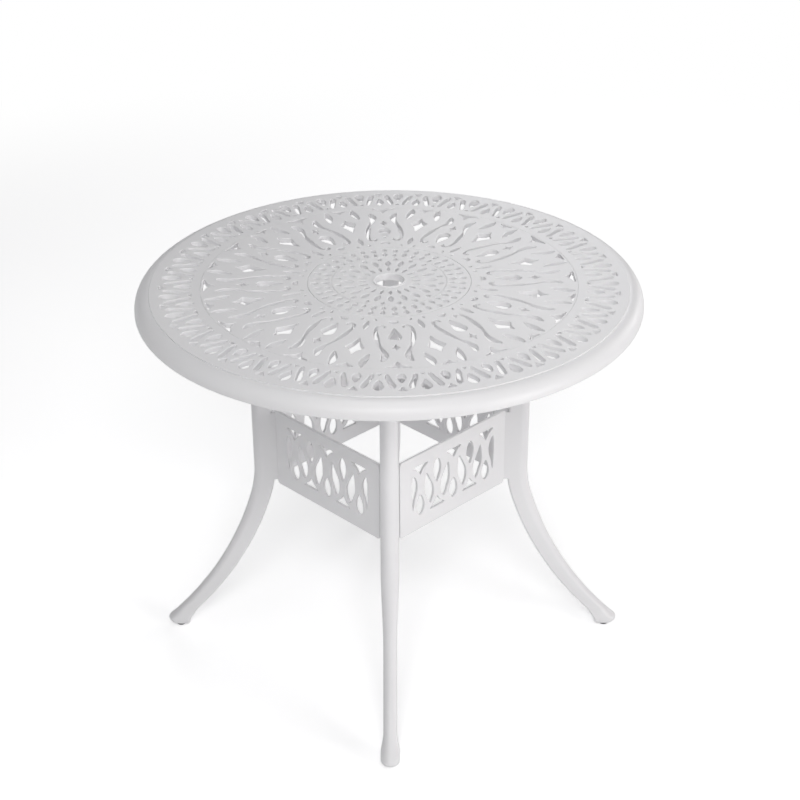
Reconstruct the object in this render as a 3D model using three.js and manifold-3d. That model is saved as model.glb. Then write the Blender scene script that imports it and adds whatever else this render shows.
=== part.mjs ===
// A round umbrella table in cast aluminium. A pierced tabletop with a rolled rim stands on four
// cast legs, which four pierced apron panels tie into a square. Hex bolts and plain washers hold
// the castings together, and each foot has a screw-in levelling glide.
// Millimetres, +Z up, origin on the floor under the middle of the table.

import * as THREE from 'three';
import { mergeVertices } from 'three/addons/utils/BufferGeometryUtils.js';
import Module from 'manifold-3d';

const wasm = await Module();
wasm.setup();

// The whole table
const tableDiameter = 900;
const tableHeight = 747;
const fitGap = 0.3;
const cutOverrun = 2;
const joinOverlap = 1;

// Tabletop casting
const plateThickness = 9;
const rimStepDrop = 1.4;
const rimRollWidth = 26;
const rimRollHeight = 25;
const rimDepth = 31;
const rimWall = 5;
const rimLap = 8;
const poleHoleDiameter = 52;
const collarWall = 3.5;
const collarRise = 2;
const collarDepth = 11;
const ribWidth = 4;
const ribDepth = 5;
const padLength = 82;
const padWidth = 46;
const padDepth = 8;

// Piercings of the tabletop: the lace band, the flame field inside it and the sunburst in the
// middle. A margin is the plain ring outside a band, and a turn is the angle of its first repeat.
const laceMargin = 16;
const laceDepth = 63;
const laceRepeats = 32;
const laceTurn = THREE.MathUtils.degToRad(3.6);
const fieldMargin = 10;
const fieldDepth = 185;
const fieldRepeats = 12;
const fieldTurn = THREE.MathUtils.degToRad(18);
const sunMargin = 10;
const sunCollarMargin = 9;
const sunRepeats = 20;
const sunTurn = THREE.MathUtils.degToRad(11.5);

// Aprons: each stands back from the corner of the legs' square, and a seam parts it from the legs
const apronSetback = 18.7;
const apronSeam = 1.3;
const apronHeight = 156;
const apronBottom = 336;
const apronThickness = 6;
const apronCorner = 4;
const windowSideBorder = 31.5;
const windowTopBorder = 23;
const windowBottomBorder = 30;
const fretColumns = 5;
const flangeThickness = 6;
const flangeReach = 17;
const flangeInset = 6;
const boltInset = 14;
const boltEdge = 18;
const boltStagger = 18;

// Legs
const legInset = 193;
const legDepth = 40;
const lowerLegDepth = 37;
const legWidth = 33.5;
const upperLegWidth = 31;
const lowerLegWidth = 24.8;
const legEdge = 5;
const bendStart = 366;
const kneeRadius = 215;
const kneeAngle = THREE.MathUtils.degToRad(16);
const sweepRadius = 640;
const taperTop = 300;
const taperBottom = 165;
const shoulderLength = 16;
const neckHeight = 40;
const footTipHeight = 18;
const footWidth = 34;
const footDepth = 44;
const footUnderHeight = 9;
const footUnderSetback = 1;
const soleHeight = 4;
const soleWidth = 28;
const soleDepth = 30;
const soleSetback = 8;
const headPlateThickness = 8;
const headPlateCorner = 8;
const headBoltSpread = 56;

// Fasteners
const boltDiameter = 6;
const boltLength = 20;
const boltHeadAcross = 10;
const boltHeadHeight = 4;
const boltClearance = 0.35;
const washerDiameter = 12;
const washerThickness = 1.6;

// Levelling glides
const glideDiameter = 20;
const glideEdge = 1;
const studDiameter = 8;
const studLength = 22;
const studClearance = 0.3;
const studPocketSpare = 4;

// Facet counts of the round shapes
const rimFacets = 60;
const rollFacets = 4;
const collarFacets = 32;
const glideFacets = 12;
const ribFacets = 30;
const smallFacets = 8;
const washerFacets = 12;
const noseFacets = 6;
const sweepSteps = 8;

const castPaint = new THREE.MeshStandardMaterial({ color: 0xe9e8ea, roughness: 0.45, metalness: 0.05 });
const zincPlate = new THREE.MeshStandardMaterial({ color: 0xb9bcc0, roughness: 0.35, metalness: 0.9 });
const blackNylon = new THREE.MeshStandardMaterial({ color: 0x17181a, roughness: 0.6, metalness: 0 });

// Solids and meshes

function toSolid(geometry) {
  const bare = geometry.index ? geometry.clone() : geometry;
  bare.deleteAttribute('normal');
  bare.deleteAttribute('uv');
  const merged = mergeVertices(bare);
  return new wasm.Manifold(new wasm.Mesh({
    numProp: 3,
    vertProperties: new Float32Array(merged.attributes.position.array),
    triVerts: new Uint32Array(merged.index.array),
  }));
}

function toGeometry(solid) {
  const { vertProperties, triVerts } = solid.getMesh();
  const geometry = new THREE.BufferGeometry();
  geometry.setAttribute('position', new THREE.BufferAttribute(new Float32Array(vertProperties), 3));
  geometry.setIndex(new THREE.BufferAttribute(new Uint32Array(triVerts), 1));
  const flat = geometry.toNonIndexed();
  flat.computeVertexNormals();
  return flat;
}

function addMesh(parent, name, geometry, material) {
  const mesh = new THREE.Mesh(geometry, material);
  mesh.name = name;
  parent.add(mesh);
  return mesh;
}

// A closed ring or disc turned about Z from [radius, height] points
function turned(profile, facets) {
  const points = profile.map(([radius, height]) => new THREE.Vector2(radius, height));
  if (profile[0][0] > 0) points.push(points[0].clone());
  return new THREE.LatheGeometry(points, facets).rotateX(Math.PI / 2);
}

// A rod along Z between two heights
function rod(diameter, bottom, top, facets) {
  const length = top - bottom;
  const geometry = new THREE.CylinderGeometry(diameter / 2, diameter / 2, length, facets);
  return geometry.rotateX(Math.PI / 2).translate(0, 0, bottom + length / 2);
}

// An upright prism of an [x, y] outline between two heights
function prism(outline, bottom, top) {
  const shape = new THREE.Shape(outline.map(([x, y]) => new THREE.Vector2(x, y)));
  const geometry = new THREE.ExtrudeGeometry(shape, { depth: top - bottom, bevelEnabled: false });
  return geometry.translate(0, 0, bottom);
}

// A rectangle with cut corners, centred on the origin
function cutRectangle(length, width, corner) {
  const x = length / 2;
  const y = width / 2;
  return [
    [x, y - corner], [x - corner, y], [corner - x, y], [-x, y - corner],
    [-x, corner - y], [corner - x, -y], [x - corner, -y], [x, corner - y],
  ];
}

// The same outline with its mirror image added behind it, for shapes that are alike on both sides
function withMirror(half) {
  const back = half.filter(([across]) => across !== 0).map(([across, along]) => [-across, along]);
  return half.concat(back.reverse());
}

function mirrored(outline) {
  return outline.map(([across, along]) => [-across, along]).reverse();
}

// Tabletop piercings. Each outline is a list of [share of the repeat's angle, share of the band's
// depth from inside to outside], measured from the repeat's middle line.

const flameDropShares = withMirror([[0, 0.216], [0.095, 0.35], [0, 0.435]]);
const starShares = withMirror([[0, 0.52], [0.045, 0.585], [0, 0.64]]);
const outerArrowShares = withMirror([[0, 0.85], [0.125, 0.975]]);
const flameSlotShares = [
  [0.13, 0.835], [0.17, 0.83], [0.175, 0.66], [0.29, 0.42], [0.325, 0.2], [0.21, 0.125],
  [0.2, 0.165], [0.28, 0.21], [0.22, 0.42], [0.09, 0.72],
];
const kiteShares = [[0.5, 0.41], [0.615, 0.61], [0.5, 0.73], [0.385, 0.61]];
const leafShares = [[0.345, 0.705], [0.375, 0.84], [0.33, 0.975], [0.295, 0.84]];
const outerNickShares = [[0.5, 0.905], [0.565, 0.975], [0.435, 0.975]];
const innerDiamondShares = [[0.5, 0.08], [0.555, 0.17], [0.5, 0.245], [0.445, 0.17]];
const fieldShares = [
  flameDropShares, starShares, outerArrowShares, flameSlotShares, mirrored(flameSlotShares),
  kiteShares, leafShares, mirrored(leafShares), outerNickShares, innerDiamondShares,
];

const laceDropShares = [[0, 0.06], [0.09, 0.27], [0, 0.57], [-0.09, 0.27]];
const laceOvalShares = [[0.5, 0.41], [0.6, 0.73], [0.5, 0.96], [0.4, 0.73]];
const laceSlotShares = [[0.25, 0.13], [0.34, 0.13], [0.25, 0.84], [0.16, 0.84]];
const laceShares = [laceDropShares, laceOvalShares, laceSlotShares, mirrored(laceSlotShares)];

const sunRayShares = [[0, 0.25], [0.16, 0.38], [0, 0.47], [-0.16, 0.38]];
const sunPetalShares = [[0.5, 0.68], [0.62, 0.75], [0.5, 0.82], [0.38, 0.75]];
const sunShares = [sunRayShares, sunPetalShares];

function bandHoles(outlines, innerRadius, outerRadius, repeats, turn) {
  const pitch = (2 * Math.PI) / repeats;
  const holes = [];
  for (let repeat = 0; repeat < repeats; repeat += 1) {
    for (const outline of outlines) {
      const points = outline.map(([angleShare, depthShare]) => {
        const angle = turn + (repeat + angleShare) * pitch;
        const radius = innerRadius + depthShare * (outerRadius - innerRadius);
        return new THREE.Vector2(radius * Math.cos(angle), radius * Math.sin(angle));
      });
      holes.push(new THREE.Path(points));
    }
  }
  return holes;
}

const plateTop = tableHeight - collarRise;
const plateBottom = plateTop - plateThickness;
const tableRadius = tableDiameter / 2;
const plateRadius = tableRadius - rimRollWidth;
const laceOuterRadius = plateRadius - laceMargin;
const laceInnerRadius = laceOuterRadius - laceDepth;
const fieldOuterRadius = laceInnerRadius - fieldMargin;
const fieldInnerRadius = fieldOuterRadius - fieldDepth;
const sunOuterRadius = fieldInnerRadius - sunMargin;
const sunInnerRadius = poleHoleDiameter / 2 + collarWall + sunCollarMargin;
const padBottom = plateBottom - padDepth;
const legOuterRadius = tableRadius - legInset;
const legAxisRadius = legOuterRadius - legDepth / 2;

function piercedPlate() {
  const edge = [];
  for (let facet = 0; facet < rimFacets; facet += 1) {
    const angle = (facet / rimFacets) * 2 * Math.PI;
    edge.push(new THREE.Vector2(plateRadius * Math.cos(angle), plateRadius * Math.sin(angle)));
  }
  const shape = new THREE.Shape(edge);
  shape.holes = [
    ...bandHoles(fieldShares, fieldInnerRadius, fieldOuterRadius, fieldRepeats, fieldTurn),
    ...bandHoles(laceShares, laceInnerRadius, laceOuterRadius, laceRepeats, laceTurn),
    ...bandHoles(sunShares, sunInnerRadius, sunOuterRadius, sunRepeats, sunTurn),
  ];
  const geometry = new THREE.ExtrudeGeometry(shape, { depth: plateThickness, bevelEnabled: false });
  return geometry.translate(0, 0, plateBottom);
}

// The rolled rim: a small step down from the plate, a quarter-round roll and a hanging skirt
function rolledRim() {
  const rollTop = plateTop - rimStepDrop;
  const profile = [[plateRadius - rimLap, rollTop]];
  for (let step = 0; step <= rollFacets; step += 1) {
    const angle = (step / rollFacets) * (Math.PI / 2);
    profile.push([
      plateRadius + rimRollWidth * Math.sin(angle),
      rollTop - rimRollHeight * (1 - Math.cos(angle)),
    ]);
  }
  profile.push([tableRadius, plateTop - rimDepth]);
  for (let step = rollFacets; step >= 0; step -= 1) {
    const angle = (step / rollFacets) * (Math.PI / 2);
    profile.push([
      plateRadius + (rimRollWidth - rimWall) * Math.sin(angle),
      step === rollFacets
        ? plateTop - rimDepth
        : rollTop - rimWall - (rimRollHeight - rimWall) * (1 - Math.cos(angle)),
    ]);
  }
  profile.push([plateRadius - rimLap, rollTop - rimWall]);
  return turned(profile.reverse(), rimFacets);
}

// A ring rib under the plain ring between two bands
function rib(radius) {
  const top = plateBottom + joinOverlap;
  const bottom = plateBottom - ribDepth;
  const inside = radius - ribWidth / 2;
  const outside = radius + ribWidth / 2;
  return turned([[inside, bottom], [outside, bottom], [outside, top], [inside, top]], ribFacets);
}

function poleCollar() {
  const inside = poleHoleDiameter / 2;
  const outside = inside + collarWall;
  const bottom = plateTop - collarDepth;
  return turned([
    [inside, bottom], [outside, bottom], [outside, tableHeight], [inside, tableHeight],
  ], collarFacets);
}

// A leg's own frame has +X running out from the table's middle through the leg
function legAngle(index) {
  return ((2 * index - 1) * Math.PI) / 4;
}

function headBoltPlaces() {
  return [-1, 1].map((side) => [legAxisRadius, (side * headBoltSpread) / 2]);
}

function tabletop() {
  let solid = toSolid(piercedPlate()).add(toSolid(rolledRim()));
  solid = solid.add(toSolid(rib(fieldInnerRadius - sunMargin / 2)));
  solid = solid.add(toSolid(rib(laceInnerRadius - fieldMargin / 2)));
  for (let index = 0; index < 4; index += 1) {
    const pad = prism(cutRectangle(padWidth, padLength, headPlateCorner), padBottom,
      plateBottom + joinOverlap);
    solid = solid.add(toSolid(pad.translate(legAxisRadius, 0, 0).rotateZ(legAngle(index))));
  }
  const pole = rod(poleHoleDiameter, padBottom - collarDepth, tableHeight + cutOverrun, collarFacets);
  solid = solid.subtract(toSolid(pole)).add(toSolid(poleCollar()));
  for (let index = 0; index < 4; index += 1) {
    for (const [x, y] of headBoltPlaces()) {
      const hole = rod(boltDiameter + 2 * boltClearance, padBottom - cutOverrun,
        headBoltTip + cutOverrun, smallFacets);
      solid = solid.subtract(toSolid(hole.translate(x, y, 0).rotateZ(legAngle(index))));
    }
  }
  return toGeometry(solid);
}

// Legs

const headPlateTop = padBottom - fitGap;
const headPlateBottom = headPlateTop - headPlateThickness;
const headBoltSeat = headPlateBottom - fitGap;
const headBoltTip = headBoltSeat + boltLength;
const apronTop = apronBottom + apronHeight;
const apronMiddle = apronBottom + apronHeight / 2;
const apronFaceDistance = legOuterRadius / Math.SQRT2 - apronSetback;
const apronLength = 2 * (apronFaceDistance - (legWidth / 2 + apronSeam) * Math.SQRT2);
const kneeDrop = kneeRadius * Math.sin(kneeAngle);

// Radius of the leg's outer face at a height: straight, then a tight knee, then a long sweep
function legOutside(height) {
  const drop = bendStart - height;
  if (drop <= 0) return legOuterRadius;
  if (drop <= kneeDrop) return legOuterRadius + kneeRadius * (1 - Math.cos(Math.asin(drop / kneeRadius)));
  const lean = Math.asin(Math.sin(kneeAngle) + (drop - kneeDrop) / sweepRadius);
  const kneeOut = kneeRadius * (1 - Math.cos(kneeAngle));
  return legOuterRadius + kneeOut + sweepRadius * (Math.cos(kneeAngle) - Math.cos(lean));
}

function legWidthAt(height) {
  if (height >= taperTop) return legWidth;
  const share = Math.max(0, (height - taperBottom) / (taperTop - taperBottom));
  return lowerLegWidth + (legWidth - lowerLegWidth) * THREE.MathUtils.smoothstep(share, 0, 1);
}

function legDepthAt(height) {
  const share = Math.min(1, Math.max(0, (height - neckHeight) / (bendStart - neckHeight)));
  return lowerLegDepth + (legDepth - lowerLegDepth) * share;
}

const footTip = legOutside(footTipHeight);
const soleOutside = footTip - soleSetback;
const glideRadius = soleOutside - soleDepth / 2;

// The leg's level sections from the top down: [height, outer radius, depth, width]
function legStations() {
  const stations = [
    [headPlateBottom + joinOverlap, legOuterRadius, legDepth, upperLegWidth],
    [apronTop + shoulderLength, legOuterRadius, legDepth, upperLegWidth],
    [apronTop, legOuterRadius, legDepth, legWidth],
    [bendStart, legOuterRadius, legDepth, legWidth],
  ];
  for (let step = 1; step <= sweepSteps; step += 1) {
    const height = bendStart + (neckHeight - bendStart) * (step / sweepSteps);
    stations.push([height, legOutside(height), legDepthAt(height), legWidthAt(height)]);
  }
  const flareHeight = (neckHeight + footTipHeight) / 2;
  stations.push(
    [flareHeight, legOutside(flareHeight), (lowerLegDepth + footDepth) / 2,
      (lowerLegWidth + footWidth) / 2],
    [footTipHeight, footTip, footDepth, footWidth],
    [footUnderHeight, footTip - footUnderSetback, (footDepth + soleDepth + soleSetback) / 2, footWidth],
    [soleHeight, soleOutside, soleDepth, soleWidth],
  );
  return stations;
}

// One level section: a half-round nose on the outside and cut corners on the inside
function legSection([height, outside, depth, width]) {
  const nose = width / 2;
  const points = [];
  for (let step = 0; step <= noseFacets; step += 1) {
    const angle = (step / noseFacets - 1 / 2) * Math.PI;
    points.push([outside - nose + nose * Math.cos(angle), nose * Math.sin(angle), height]);
  }
  const inside = outside - depth;
  points.push([inside + legEdge, nose, height], [inside, nose - legEdge, height]);
  points.push([inside, legEdge - nose, height], [inside + legEdge, -nose, height]);
  return points;
}

// A closed skin through level sections with the same number of points, listed from the top down
function loft(sections) {
  const count = sections[0].length;
  const positions = sections.flat(2);
  const faces = [];
  for (let level = 0; level + 1 < sections.length; level += 1) {
    for (let point = 0; point < count; point += 1) {
      const next = (point + 1) % count;
      const upper = level * count;
      const lower = upper + count;
      faces.push(upper + point, lower + point, lower + next, upper + point, lower + next, upper + next);
    }
  }
  const last = (sections.length - 1) * count;
  for (let point = 1; point + 1 < count; point += 1) {
    faces.push(0, point, point + 1, last, last + point + 1, last + point);
  }
  const geometry = new THREE.BufferGeometry();
  geometry.setAttribute('position', new THREE.Float32BufferAttribute(positions, 3));
  geometry.setIndex(faces);
  return geometry;
}

// The corner block behind the aprons: a wedge whose two faces are square to the two aprons
function cornerBlock() {
  const reach = apronLength / 2 + fitGap;
  const apex = reach * Math.SQRT2;
  const side = legWidth / 2;
  const outline = [
    [apex, 0], [apex + side, -side], [legAxisRadius, -side], [legAxisRadius, side], [apex + side, side],
  ];
  return prism(outline, apronBottom + flangeInset, apronTop - flangeInset);
}

// Places of the apron bolts in an apron's frame: [end, height], the left end's pair wider apart
// than the right end's, so that the bolts of two neighbouring aprons pass each other in the leg
function apronBoltPlaces() {
  const places = [];
  const wideReach = apronHeight / 2 - flangeInset - boltEdge;
  for (const [end, reach] of [[-1, wideReach], [1, wideReach - boltStagger]]) {
    for (const side of [-1, 1]) places.push([end, apronMiddle + side * reach]);
  }
  return places;
}

const apronInnerFace = apronThickness - apronFaceDistance;
const apronBoltLine = apronInnerFace + boltInset - apronThickness;
const flangeInside = apronLength / 2 - flangeThickness;
const washerInside = flangeInside - fitGap - washerThickness;
const apronBoltSeat = washerInside - fitGap;
const apronBoltTip = apronBoltSeat + boltLength;

// A round cut along the apron's length at one end, in the apron's frame
function apronBoltHole(end, height, from, to) {
  const hole = rod(boltDiameter + 2 * boltClearance, from, to, smallFacets);
  return hole.rotateY((end * Math.PI) / 2).translate(0, apronBoltLine, height);
}

function leg() {
  let solid = toSolid(loft(legStations().map(legSection)));
  const headPlate = prism(cutRectangle(padWidth, padLength, headPlateCorner),
    headPlateBottom, headPlateTop);
  solid = solid.add(toSolid(headPlate.translate(legAxisRadius, 0, 0))).add(toSolid(cornerBlock()));
  for (const [x, y] of headBoltPlaces()) {
    const hole = rod(boltDiameter + 2 * boltClearance, headPlateBottom - cutOverrun,
      headPlateTop + cutOverrun, smallFacets);
    solid = solid.subtract(toSolid(hole.translate(x, y, 0)));
  }
  for (const [end, height] of apronBoltPlaces()) {
    const hole = apronBoltHole(end, height, flangeInside, apronBoltTip + cutOverrun);
    const toLeg = end > 0 ? Math.PI / 4 : (3 * Math.PI) / 4;
    solid = solid.subtract(toSolid(hole.rotateZ(toLeg)));
  }
  const pocket = rod(studDiameter + 2 * studClearance, soleHeight - cutOverrun,
    soleHeight + studLength + studPocketSpare, smallFacets);
  return toGeometry(solid.subtract(toSolid(pocket.translate(glideRadius, 0, 0))));
}

// Aprons. A fret outline is a list of [share of the column pitch from the column's middle line,
// share of the window's height from its top]. Columns with the fork at the top and at the bottom
// take turns, and long leaves fill the spaces between them.

const forkTopShares = withMirror([[0, 0.19], [0.2, 0.09], [0.46, 0.015], [0.42, 0]]);
const leafLowShares = withMirror([[0, 0.61], [0.23, 0.78], [0.19, 0.94], [0.06, 1]]);
const leafHighShares = withMirror([[0, 0.5], [0.22, 0.3], [0.17, 0.12], [0, 0.04]]);
const forkLowShares = withMirror([[0, 0.8], [0.2, 0.91], [0.46, 0.985], [0.42, 1]]);
const longLeafShares = [
  [0.37, 0.24], [0.55, 0.36], [0.75, 0.5], [0.79, 0.66], [0.72, 0.79], [0.57, 0.86],
  [0.42, 0.74], [0.27, 0.6], [0.25, 0.46], [0.3, 0.34],
];
const endLeafShares = [[0.46, 0.18], [0.3, 0.24], [0.17, 0.36], [0.22, 0.52], [0.38, 0.66], [0.46, 0.86]];

// Outlines round one column, with the sides of it on which another column follows
function fretOutlines(column) {
  const forkAtTop = column % 2 === 0;
  const outlines = forkAtTop ? [forkTopShares, leafLowShares] : [leafHighShares, forkLowShares];
  if (forkAtTop && column > 0) outlines.push(mirrored(longLeafShares));
  if (forkAtTop && column < fretColumns - 1) outlines.push(longLeafShares);
  if (column === 0) outlines.push(mirrored(endLeafShares));
  if (column === fretColumns - 1) outlines.push(endLeafShares);
  return outlines;
}

function apronPlate() {
  const pitch = (apronLength - 2 * windowSideBorder) / fretColumns;
  const windowHeight = apronHeight - windowTopBorder - windowBottomBorder;
  const windowTop = apronTop - windowTopBorder;
  const corners = cutRectangle(apronLength, apronHeight, apronCorner);
  const shape = new THREE.Shape(corners.map(([x, z]) => new THREE.Vector2(x, apronMiddle + z)));
  for (let column = 0; column < fretColumns; column += 1) {
    const middle = (column - (fretColumns - 1) / 2) * pitch;
    for (const outline of fretOutlines(column)) {
      shape.holes.push(new THREE.Path(outline.map(([acrossShare, downShare]) => (
        new THREE.Vector2(middle + acrossShare * pitch, windowTop - downShare * windowHeight)
      ))));
    }
  }
  const geometry = new THREE.ExtrudeGeometry(shape, { depth: apronThickness, bevelEnabled: false });
  return geometry.rotateX(Math.PI / 2).translate(0, apronInnerFace, 0);
}

function apron() {
  let solid = toSolid(apronPlate());
  const flangeHeight = apronHeight - 2 * flangeInset;
  const flangeDepth = flangeReach + joinOverlap;
  for (const end of [-1, 1]) {
    const flange = new THREE.BoxGeometry(flangeThickness, flangeDepth, flangeHeight);
    const x = end * (apronLength / 2 - flangeThickness / 2);
    const y = apronInnerFace - joinOverlap + flangeDepth / 2;
    solid = solid.add(toSolid(flange.translate(x, y, apronMiddle)));
  }
  for (const [end, height] of apronBoltPlaces()) {
    const hole = apronBoltHole(end, height, flangeInside - cutOverrun, apronLength / 2 + cutOverrun);
    solid = solid.subtract(toSolid(hole));
  }
  return toGeometry(solid);
}

// Fasteners, with the shank along +Z and the seat of the head at the origin

function hexBolt() {
  const acrossCorners = boltHeadAcross / Math.cos(Math.PI / 6);
  const head = rod(acrossCorners, -boltHeadHeight, 0, 6);
  const shank = rod(boltDiameter, -boltHeadHeight / 2, boltLength, smallFacets);
  return toGeometry(toSolid(head).add(toSolid(shank)));
}

function washer() {
  const inside = boltDiameter / 2 + boltClearance;
  const outside = washerDiameter / 2;
  return turned([
    [inside, 0], [outside, 0], [outside, washerThickness], [inside, washerThickness],
  ], washerFacets);
}

// The glide stands on the floor: a nylon pad with its threaded stud going up into the foot
function glide() {
  const padRadius = glideDiameter / 2;
  const padTop = soleHeight - fitGap;
  return turned([
    [0, 0], [padRadius - glideEdge, 0], [padRadius, glideEdge], [padRadius, padTop],
    [studDiameter / 2, padTop], [studDiameter / 2, soleHeight + studLength], [0, soleHeight + studLength],
  ], glideFacets);
}

// Assembly

const table = new THREE.Group();
addMesh(table, 'tabletop', tabletop(), castPaint);

const legGeometry = leg();
const boltGeometry = hexBolt();
const washerGeometry = washer();
const glideGeometry = glide();
['front_right', 'back_right', 'back_left', 'front_left'].forEach((corner, index) => {
  const group = new THREE.Group();
  group.rotation.z = legAngle(index);
  table.add(group);
  addMesh(group, `leg_${corner}`, legGeometry, castPaint);
  addMesh(group, `glide_${corner}`, glideGeometry, blackNylon).position.x = glideRadius;
  headBoltPlaces().forEach(([x, y], place) => {
    const bolt = addMesh(group, `head_bolt_${corner}_${place + 1}`, boltGeometry, zincPlate);
    bolt.position.set(x, y, headBoltSeat);
  });
});

const apronGeometry = apron();
['front', 'right', 'back', 'left'].forEach((side, index) => {
  const group = new THREE.Group();
  group.rotation.z = (index * Math.PI) / 2;
  table.add(group);
  addMesh(group, `apron_${side}`, apronGeometry, castPaint);
  apronBoltPlaces().forEach(([end, height], place) => {
    const ring = addMesh(group, `washer_${side}_${place + 1}`, washerGeometry, zincPlate);
    ring.rotation.y = (end * Math.PI) / 2;
    ring.position.set(end * washerInside, apronBoltLine, height);
    const bolt = addMesh(group, `apron_bolt_${side}_${place + 1}`, boltGeometry, zincPlate);
    bolt.rotation.y = (end * Math.PI) / 2;
    bolt.position.set(end * apronBoltSeat, apronBoltLine, height);
  });
});

export default table;
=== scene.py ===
# A round umbrella table in white cast aluminium, with its visible meshes and finishes. Metres, +Z
# up, in the frame of the CAD model, which gives every piece its place and its outer size. The file
# follows the table as it is put together, from the tabletop down to the feet.

import math

import bpy
from mathutils import Matrix, Vector
from mathutils.geometry import delaunay_2d_cdt


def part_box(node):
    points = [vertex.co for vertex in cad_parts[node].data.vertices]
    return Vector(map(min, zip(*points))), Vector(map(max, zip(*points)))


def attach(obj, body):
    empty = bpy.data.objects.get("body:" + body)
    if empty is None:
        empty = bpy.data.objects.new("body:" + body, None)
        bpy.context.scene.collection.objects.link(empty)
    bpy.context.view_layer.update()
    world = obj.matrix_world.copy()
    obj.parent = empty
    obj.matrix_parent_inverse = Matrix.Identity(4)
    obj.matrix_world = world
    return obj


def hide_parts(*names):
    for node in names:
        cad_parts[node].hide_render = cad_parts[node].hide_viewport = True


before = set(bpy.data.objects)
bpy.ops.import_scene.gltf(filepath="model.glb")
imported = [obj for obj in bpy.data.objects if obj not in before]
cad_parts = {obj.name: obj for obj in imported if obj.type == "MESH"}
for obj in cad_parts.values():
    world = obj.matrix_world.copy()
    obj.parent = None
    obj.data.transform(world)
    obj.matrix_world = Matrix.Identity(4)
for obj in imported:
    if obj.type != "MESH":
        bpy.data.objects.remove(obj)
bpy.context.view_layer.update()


# Tabletop plate. One aluminium casting, 9 mm thick, with the pattern cast right through it and
# every edge softened by fettling. It is powder coated white, which leaves a fine orange peel.

_, table_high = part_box("tabletop")
table_radius = table_high.x
collar_radius, collar_rise, collar_lap = 0.0295, 0.002, 0.003
plate_top = table_high.z - collar_rise
plate_bottom = plate_top - 0.009
plate_radius = table_radius - 0.026
plate_rounding = 0.0012
plate_draft = 0.0012
most_draft_share = 0.25
plate_facets, ring_facets = 360, 240
outline_steps, bend_steps = 4, 3
merge_distance = 1e-7

# Bands of the pattern, from their outer and inner radius, with the angle of the first repeat
lace_outer, lace_inner, lace_repeats, lace_turn = plate_radius - 0.016, plate_radius - 0.079, 32, 3.6
field_outer, field_inner, field_repeats, field_turn = lace_inner - 0.010, lace_inner - 0.195, 12, 18.0
sun_outer, sun_inner, sun_repeats, sun_turn = field_inner - 0.010, collar_radius + 0.009, 20, 11.5
field_line = field_outer - 0.0012
disc_line = field_inner - 0.005
sun_line = disc_line - 0.043
field_groove, disc_groove, sun_groove = 0.0003, 0.0007, 0.0005

# An opening of a band is a line of stations from tip to tip. Each has its share of the band's
# depth from the inside, and its place and half-width as shares of the repeat's angle.
teardrop_shares = [
    (0.2, 0, 0), (0.27, 0, 0.052), (0.34, 0, 0.09), (0.4, 0, 0.098), (0.44, 0, 0.066), (0.463, 0, 0),
]
star_shares = [(0.522, 0, 0), (0.566, 0, 0.02), (0.588, 0, 0.055), (0.612, 0, 0.02), (0.655, 0, 0)]
arrow_shares = [
    (0.85, 0, 0), (0.895, 0, 0.024), (0.935, 0, 0.062),
    (0.954, 0, 0.122), (0.966, 0, 0.132), (0.968, 0, 0),
]
crescent_shares = [
    (0.07, -0.09, 0), (0.086, -0.05, 0.042), (0.094, 0, 0.05), (0.086, 0.05, 0.042), (0.07, 0.09, 0),
]
hook_shares = [
    (0.855, 0.158, 0), (0.83, 0.152, 0.022), (0.795, 0.137, 0.032), (0.75, 0.127, 0.04),
    (0.66, 0.145, 0.029), (0.58, 0.188, 0.016), (0.51, 0.222, 0.023), (0.42, 0.255, 0.035),
    (0.335, 0.282, 0.033), (0.26, 0.303, 0.026), (0.2, 0.3, 0.024), (0.162, 0.262, 0.025),
    (0.155, 0.212, 0.03), (0.172, 0.178, 0.026), (0.2, 0.165, 0),
]
leaf_shares = [
    (0.972, 0.344, 0), (0.91, 0.35, 0.03), (0.84, 0.34, 0.041), (0.78, 0.323, 0.03), (0.715, 0.306, 0),
]
dot_shares = [(0.06, 0.34, 0), (0.043, 0.36, 0.024), (0.022, 0.382, 0)]
kite_shares = [
    (0.41, 0.5, 0), (0.5, 0.5, 0.044), (0.57, 0.5, 0.092), (0.61, 0.5, 0.113),
    (0.645, 0.5, 0.065), (0.68, 0.5, 0.028), (0.73, 0.5, 0),
]
nick_shares = [(0.9, 0.5, 0), (0.935, 0.5, 0.026), (0.954, 0.5, 0.07), (0.967, 0.5, 0.08), (0.969, 0.5, 0)]
diamond_shares = [
    (0.065, 0.5, 0), (0.12, 0.5, 0.038), (0.165, 0.5, 0.047), (0.205, 0.5, 0.032), (0.245, 0.5, 0),
]
field_shares = [
    teardrop_shares, star_shares, arrow_shares, crescent_shares, kite_shares, nick_shares, diamond_shares,
]
field_paired_shares = [hook_shares, leaf_shares, dot_shares]

lace_drop_shares = [(0.06, 0, 0), (0.14, 0, 0.078), (0.27, 0, 0.104), (0.42, 0, 0.072), (0.57, 0, 0)]
lace_tick_shares = [(0.76, 0, 0), (0.86, 0, 0.042), (0.94, 0, 0.09), (0.972, 0, 0.09), (0.98, 0, 0)]
lace_oval_shares = [
    (0.4, 0.5, 0), (0.55, 0.5, 0.074), (0.73, 0.5, 0.115), (0.88, 0.5, 0.086), (0.96, 0.5, 0),
]
lace_wedge_shares = [(0.07, 0.5, 0), (0.085, 0.5, 0.06), (0.13, 0.5, 0.028), (0.18, 0.5, 0)]
lace_slot_shares = [
    (0.86, 0.185, 0), (0.79, 0.19, 0.056), (0.67, 0.21, 0.068), (0.5, 0.25, 0.064),
    (0.31, 0.3, 0.057), (0.17, 0.325, 0.05), (0.08, 0.335, 0),
]
lace_shares = [lace_drop_shares, lace_tick_shares, lace_oval_shares, lace_wedge_shares]
lace_paired_shares = [lace_slot_shares]

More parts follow.
